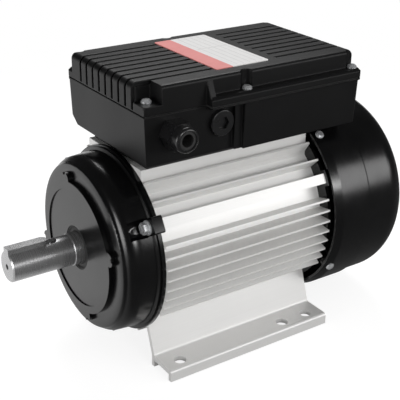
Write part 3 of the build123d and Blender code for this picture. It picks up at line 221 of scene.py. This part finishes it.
# %% Extruded aluminium
def extruded_aluminium():
    finish = Finish("extruded_aluminium", (0.80, 0.795, 0.785), 0.46, 0.35)
    lines = finish.noise(1.0, 3.0, finish.stretched(12.0, 2200.0, 2200.0))
    cloud = finish.noise(28.0, 3.0)
    share = (lines * 0.6 + cloud * 0.4).clamp()
    finish.vary("Roughness", share, 0.36, 0.5)
    finish.set("Base Color", finish.between(share, (0.74, 0.735, 0.725), (0.85, 0.845, 0.835)))
    finish.bump(lines, 0.00002, 0.5)
    return finish.material


# %% [markdown]
# The end shields and the cowl are painted glossy black. Sprayed enamel flows out almost flat,
# with a faint orange peel that softens the edges of reflections.

# %% Black enamel
def black_enamel(name="black_enamel", round_shoulder=False):
    finish = Finish(name, (0.002, 0.002, 0.0022), 0.2)
    peel = finish.noise(420.0, 2.0)
    dust = finish.noise(60.0, 4.0)
    finish.vary("Roughness", dust, 0.16, 0.3)
    finish.set("Base Color", finish.between(dust, (0.0012, 0.0012, 0.0014), (0.003, 0.003, 0.0032)))
    finish.bump(peel, 0.00004, 0.35, rounded(finish) if round_shoulder else None)
    return finish.material


# %% [markdown]
# On the drive end shield the paint and the casting's radius run the front face into the drum
# without an edge. The shading there turns steadily from the face to the drum, and leaves alone
# whatever points elsewhere, such as the lugs and the ears.

# %% Rounded shoulder
SHOULDER_START_R = 0.058
SHOULDER_START_X = -0.109
SHOULDER_RUN = 0.031
SHOULDER_TURN = 1.55       # radians from the face to the drum, almost a right angle
SHOULDER_ALIKE = 0.84      # normals less alike than this stay as the solid has them
SHOULDER_FADE = 0.08


def rounded(finish):
    x, y, z = finish.parts()
    height = z - SHAFT_Z
    radius = (y * y + height * height).math("SQRT")
    along = (((radius - SHOULDER_START_R) + (x - SHOULDER_START_X)) / SHOULDER_RUN).clamp()
    eased = along * along * (3.0 - along * 2.0)
    angle = eased * SHOULDER_TURN
    out = angle.math("SINE") / radius
    smooth = finish.join(angle.math("COSINE") * -1.0, y * out, height * out)
    geometry = finish.node("NewGeometry", output=1)
    alike = finish.node("VectorMath", {"operation": "DOT_PRODUCT"}, {0: geometry, 1: smooth}, output=1)
    share = ((alike - SHOULDER_ALIKE) / SHOULDER_FADE).clamp()
    mixed = finish.node("Mix", {"data_type": "VECTOR"}, {0: share, 4: geometry, 5: smooth}, output=1)
    return finish.node("VectorMath", {"operation": "NORMALIZE"}, {0: mixed})


# %% [markdown]
# The terminal box is moulded from filled nylon. The mould is lightly eroded, so the skin has a
# very fine grain and reflects broad soft light.

# %% Moulded box
EDGE_RADIUS = 0.0012


def moulded_box():
    finish = Finish("moulded_box", (0.007, 0.007, 0.0073), 0.42, Specular_IOR_Level=0.25)
    grain = finish.noise(1900.0, 2.0)
    flow = finish.noise(24.0, 3.0)
    finish.vary("Roughness", flow, 0.36, 0.48)
    finish.set("Base Color", finish.between(flow, (0.003, 0.003, 0.0032), (0.0055, 0.0055, 0.0058)))
    soft_edges = finish.node("Bevel", {"samples": 6}, {"Radius": EDGE_RADIUS})
    finish.bump(grain, 0.00003, 0.35, soft_edges)
    return finish.material


# %% [markdown]
# The shaft is turned and then ground, which leaves fine rings round it. Rings are noise of the
# position along X alone. The key is cut from drawn bar, whose lines run along it; this finish draws
# no such lines.

# %% Ground shaft steel
def ground_steel():
    finish = Finish("ground_steel", (0.44, 0.44, 0.445), 0.27, 0.85)
    x, radius = finish.around_shaft()
    rings = finish.noise(1.0, 2.0, finish.join(x * 2600.0, radius * 900.0, 0.0))
    stain = finish.noise(70.0, 4.0)
    finish.vary("Roughness", rings * 0.6 + stain * 0.4, 0.22, 0.33)
    finish.set("Base Color", finish.between(stain, (0.38, 0.38, 0.385), (0.52, 0.52, 0.525)))
    finish.bump(rings, 0.00001, 0.15)
    return finish.material


# %% [markdown]
# Screws and the fan's clip are zinc plated: bright, slightly blue, with small cloudy patches.

# %% Zinc plate
def zinc_plate():
    finish = Finish("zinc_plate", (0.62, 0.635, 0.655), 0.26, 0.7)
    cloud = finish.noise(240.0, 4.0)
    finish.vary("Roughness", cloud, 0.18, 0.38)
    finish.set("Base Color", finish.between(cloud, (0.52, 0.535, 0.555), (0.74, 0.75, 0.76)))
    finish.bump(cloud, 0.00002, 0.3)
    return finish.material


# %% [markdown]
# The rest are plain workshop finishes: hardened bearing steel, dull core sheets, enamelled wire,
# cast cage rings, rubber, nylon, resin and brass. One function makes each from two colours and
# two roughnesses with a noise of its own scale.

# %% Plain finishes
def plain(name, dark, light, smooth, rough, scale, metallic=0.0, depth=0.00002, stretch=None):
    finish = Finish(name, light, rough, metallic)
    where = finish.stretched(*stretch) if stretch else finish.place
    cloud = finish.noise(scale, 4.0, where)
    finish.vary("Roughness", cloud, smooth, rough)
    finish.set("Base Color", finish.between(cloud, dark, light))
    finish.bump(cloud, depth, 0.4)
    return finish.material


# %% [markdown]
# The nameplate carries no words. It keeps only what a blank plate of this kind has: a plain red
# band along one end and a pale panel with thin ruled lines for entries.

# %% Blank nameplate
PLATE_X0 = -0.0135
PLATE_X1 = 0.0345
PLATE_Y = 0.002
PLATE_HALF = 0.0435
BAND = 0.015
ROW = 0.0058
RULE_SHARE = 0.07          # how much of a row its line takes
MARGIN = 0.003
END_MARGIN = 0.002
COLUMN_Y = 0.0095
COLUMN_LINE = 0.0006
INK = 0.55


def blank_nameplate():
    finish = Finish("blank_nameplate", (0.80, 0.79, 0.78), 0.5, Specular_IOR_Level=0.3)
    x, y, z = finish.parts()
    band = x.under(PLATE_X0 + BAND)
    row = ((x - (PLATE_X0 + BAND)) / ROW).math("FRACT")
    panel = x.over(PLATE_X0 + BAND + MARGIN) * x.under(PLATE_X1 - END_MARGIN)
    rule = row.under(RULE_SHARE) * panel
    rule = rule * (y - PLATE_Y).math("ABSOLUTE").under(PLATE_HALF - MARGIN)
    column = y.over(COLUMN_Y) * y.under(COLUMN_Y + COLUMN_LINE) * panel
    ink = rule.math("MAXIMUM", column)
    cloud = finish.noise(160.0, 3.0)
    white = finish.between(cloud, (0.69, 0.685, 0.68), (0.76, 0.755, 0.75))
    lined = finish.between(ink * INK, white, (0.30, 0.29, 0.29))
    red = finish.between(cloud, (0.68, 0.22, 0.21), (0.76, 0.28, 0.265))
    finish.set("Base Color", finish.between(band, lined, red))
    finish.vary("Roughness", cloud, 0.44, 0.56)
    return finish.material


# %% [markdown]
# Each solid is dressed with the finish that its record names. Only the drive end shield gets one of
# its own, the same enamel with the round shoulder.

# %% Make the finishes
finishes = {
    "housing_aluminium": extruded_aluminium(),
    "black_enamel": black_enamel(),
    "box_plastic": moulded_box(),
    "shaft_steel": ground_steel(),
    "zinc_steel": zinc_plate(),
    "plate_print": blank_nameplate(),
    "bearing_steel": plain("bearing_steel", (0.5, 0.51, 0.53), (0.66, 0.67, 0.69), 0.14, 0.26, 300.0, 1.0),
    "core_steel": plain("core_sheets", (0.10, 0.10, 0.11), (0.20, 0.20, 0.21), 0.45, 0.62, 1.0, 0.8, 0.0001,
                        (1500.0, 6.0, 6.0)),
    "copper_wire": plain("enamelled_wire", (0.34, 0.10, 0.035), (0.62, 0.24, 0.09), 0.22, 0.4, 700.0, 0.7,
                         0.0003),
    "cast_cage": plain("cast_cage", (0.5, 0.5, 0.51), (0.66, 0.66, 0.67), 0.4, 0.6, 260.0, 1.0, 0.0001),
    "gasket_rubber": plain("rubber", (0.012, 0.012, 0.012), (0.026, 0.026, 0.026), 0.55, 0.75, 500.0),
    "gland_plastic": plain("gland_nylon", (0.005, 0.005, 0.0055), (0.011, 0.011, 0.0115), 0.22, 0.36, 180.0),
    "fan_plastic": plain("fan_nylon", (0.015, 0.015, 0.016), (0.03, 0.03, 0.031), 0.42, 0.58, 160.0),
    "run_capacitor_can": plain("white_can", (0.66, 0.66, 0.64), (0.74, 0.74, 0.72), 0.3, 0.42, 120.0),
    "start_capacitor_can": plain("black_can", (0.015, 0.015, 0.016), (0.03, 0.03, 0.03), 0.25, 0.4, 120.0),
    "tie_plastic": plain("natural_nylon", (0.55, 0.52, 0.44), (0.66, 0.63, 0.55), 0.35, 0.5, 260.0),
    "board_resin": plain("brown_resin", (0.09, 0.035, 0.015), (0.17, 0.07, 0.03), 0.3, 0.45, 200.0),
    "terminal_brass": plain("brass", (0.58, 0.40, 0.14), (0.76, 0.56, 0.24), 0.2, 0.36, 300.0, 1.0),
    "governor_steel": plain("pressed_steel", (0.36, 0.36, 0.37), (0.5, 0.5, 0.51), 0.28, 0.42, 220.0, 1.0),
    "governor_plastic": plain("collar_nylon", (0.40, 0.35, 0.26), (0.52, 0.47, 0.37), 0.4, 0.55, 200.0),
}


def dress(node, material):
    mesh = nodes[node].data
    mesh.materials.clear()
    mesh.materials.append(material)


for part in frame["record"]["subparts"]:
    dress(part["node"], finishes[part["material_slot"]])
dress("drive_end_shield", black_enamel("shield_enamel", True))
print("finishes", len(finishes))

# %% [markdown]
# The photograph shows bare shaft between the shoulder and the front face, so the seal is drawn
# here with its lip inside the face. It replaces the solid seal in the picture.

# %% Flush shaft seal
SEAL_OUTER_R = 0.01745
SEAL_INNER_R = 0.01262
SEAL_FRONT_X = -0.1110
SEAL_GROOVE_X = -0.1102
SEAL_BACK_X = -0.1062
SEAL_RIM = 0.001
SEAL_SLOPE = 0.0018
SEAL_LIP = 0.0008
SEAL_SIDES = 96


def turned_mesh(name, profile, sides):
    """A closed ring turned round the shaft from (x, radius) points."""
    mesh = bpy.data.meshes.new(name)
    points = []
    faces = []
    count = len(profile)
    for side in range(sides):
        turn = 2 * pi * side / sides
        for x, radius in profile:
            points.append((x, radius * cos(turn), SHAFT_Z + radius * sin(turn)))
    for side in range(sides):
        after = (side + 1) % sides
        for k in range(count):
            nxt = (k + 1) % count
            faces.append((side * count + k, side * count + nxt, after * count + nxt, after * count + k))
    mesh.from_pydata(points, [], faces)
    mesh.update()
    piece = bpy.data.objects.new(name, mesh)
    bpy.context.scene.collection.objects.link(piece)
    return piece


seal = turned_mesh("seal_flush", [
    (SEAL_BACK_X, SEAL_INNER_R), (SEAL_BACK_X, SEAL_OUTER_R), (SEAL_FRONT_X, SEAL_OUTER_R),
    (SEAL_FRONT_X, SEAL_OUTER_R - SEAL_RIM), (SEAL_GROOVE_X, SEAL_OUTER_R - SEAL_SLOPE),
    (SEAL_GROOVE_X, SEAL_INNER_R + SEAL_LIP), (SEAL_FRONT_X, SEAL_INNER_R)], SEAL_SIDES)
seal.data.materials.append(finishes["gasket_rubber"])
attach(seal, "frame")
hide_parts("shaft_seal")
print("seal drawn", len(seal.data.polygons), "faces")

# %% [markdown]
# The studio is a white floor under a dim room. Soft lamps stand at the right, at the left, behind
# and on the near side, where the photograph's highlights point to. The floor shows plain white with only the
# motor's own shadow on it, and gloss reflects that floor, brighter behind the motor than before it.

# %% Floor
FLOOR_NEAR = 0.32          # the shadow is kept within this distance of the motor's middle
FLOOR_FAR = 0.75
FLOOR_SHADE = 0.26         # how strongly the floor takes the motor's shadow
FLOOR_BASE = 0.84
GLOSS_BEFORE = 0.12        # what gloss sees of the floor before the motor
BEHIND_LEAN = 0.5
BEHIND_FADE = 0.18
BEHIND_START = 0.15


def floor_material():
    material = bpy.data.materials.new("white_floor")
    material.use_nodes = True
    tree = material.node_tree
    tree.nodes.clear()

    def add(kind, **inputs):
        node = tree.nodes.new("ShaderNode" + kind)
        for key, value in inputs.items():
            node.inputs[key.replace("_", " ")].default_value = value
        return node

    def mix(share, first, second):
        node = tree.nodes.new("ShaderNodeMixShader")
        put(tree, node.inputs[0], share)
        tree.links.new(first.outputs[0], node.inputs[1])
        tree.links.new(second.outputs[0], node.inputs[2])
        return node

    where = add("NewGeometry")
    split = add("SeparateXYZ")
    tree.links.new(where.outputs["Position"], split.inputs[0])
    x = Value(tree, split.outputs[0])
    y = Value(tree, split.outputs[1])
    away = (x * x + y * y).math("SQRT")
    far = ((away - FLOOR_NEAR) / (FLOOR_FAR - FLOOR_NEAR)).clamp()
    behind = ((y - x * BEHIND_LEAN) / BEHIND_FADE + BEHIND_START).clamp()
    rays = add("LightPath")
    lit = add("BsdfDiffuse", Color=(0.8, 0.8, 0.8, 1))
    shaded = add("BsdfDiffuse", Color=(FLOOR_SHADE, FLOOR_SHADE, FLOOR_SHADE, 1))
    base = add("Emission", Strength=FLOOR_BASE)
    catcher = add("AddShader")
    tree.links.new(shaded.outputs[0], catcher.inputs[0])
    tree.links.new(base.outputs[0], catcher.inputs[1])
    white = add("Emission", Strength=1.0)
    dim = add("Emission", Strength=GLOSS_BEFORE)
    shown = mix(far, catcher, white)
    mirrored = mix(behind, dim, white)
    result = mix(Value(tree, rays.outputs["Is Camera Ray"]), lit, shown)
    result = mix(Value(tree, rays.outputs["Is Glossy Ray"]), result, mirrored)
    result = mix(Value(tree, rays.outputs["Is Transmission Ray"]), result, shown)
    output = add("OutputMaterial")
    tree.links.new(result.outputs[0], output.inputs[0])
    return material


def add_floor():
    mesh = bpy.data.meshes.new("floor")
    shape = bmesh.new()
    bmesh.ops.create_grid(shape, x_segments=1, y_segments=1, size=6.0)
    shape.to_mesh(mesh)
    shape.free()
    floor = bpy.data.objects.new("floor", mesh)
    floor.location.z = -0.0005
    bpy.context.scene.collection.objects.link(floor)
    mesh.materials.append(floor_material())
    return floor


add_floor()
print("floor ready")

# %% [markdown]
# The world lights the motor evenly and is white to the camera. Gloss sees it dimmer, so that the
# black paint stays black. Each lamp is placed by a turn and a rise, as one walks round the motor.

# %% World and lamps
ROOM = 0.45
ROOM_IN_GLOSS = 0.05


def set_world():
    world = bpy.data.worlds.new("studio")
    world.use_nodes = True
    bpy.context.scene.world = world
    tree = world.node_tree
    tree.nodes.clear()
    rays = tree.nodes.new("ShaderNodeLightPath")
    room = tree.nodes.new("ShaderNodeBackground")
    room.inputs["Color"].default_value = (1.0, 0.995, 0.99, 1)
    room.inputs["Strength"].default_value = ROOM
    gloss = tree.nodes.new("ShaderNodeBackground")
    gloss.inputs["Color"].default_value = (1, 1, 1, 1)
    gloss.inputs["Strength"].default_value = ROOM_IN_GLOSS
    white = tree.nodes.new("ShaderNodeBackground")
    white.inputs["Color"].default_value = (1, 1, 1, 1)
    white.inputs["Strength"].default_value = 1.0
    mixed = tree.nodes.new("ShaderNodeMixShader")
    inner = tree.nodes.new("ShaderNodeMixShader")
    tree.links.new(rays.outputs["Is Glossy Ray"], inner.inputs[0])
    tree.links.new(room.outputs[0], inner.inputs[1])
    tree.links.new(gloss.outputs[0], inner.inputs[2])
    tree.links.new(rays.outputs["Is Camera Ray"], mixed.inputs[0])
    tree.links.new(inner.outputs[0], mixed.inputs[1])
    tree.links.new(white.outputs[0], mixed.inputs[2])
    output = tree.nodes.new("ShaderNodeOutputWorld")
    tree.links.new(mixed.outputs[0], output.inputs[0])


def add_lamp(name, turn, rise, distance, size, power):
    """A soft lamp that faces the motor from a turn about Z and a rise above the floor."""
    middle = Vector((0.0, 0.0, 0.12))
    level = cos(radians(rise))
    way = Vector((cos(radians(turn)) * level, sin(radians(turn)) * level, sin(radians(rise))))
    data = bpy.data.lights.new(name, "AREA")
    data.shape = "ELLIPSE"
    data.size = size[0]
    data.size_y = size[1]
    data.energy = power
    lamp = bpy.data.objects.new(name, data)
    lamp.location = middle + way * distance
    lamp.rotation_euler = (-way).to_track_quat("-Z", "Y").to_euler()
    bpy.context.scene.collection.objects.link(lamp)
    return lamp


set_world()
add_lamp("right_lamp", -52, 16, 1.5, (0.9, 0.6), 6.0)
add_lamp("left_lamp", -173, 5, 1.4, (0.75, 0.6), 7.0)
add_lamp("back_lamp", 60, 50, 1.6, (1.0, 0.8), 14.0)
add_lamp("near_lamp", -95, 20, 1.7, (0.5, 0.35), 7.0)
bpy.context.scene.view_settings.view_transform = "Standard"
print("studio ready")
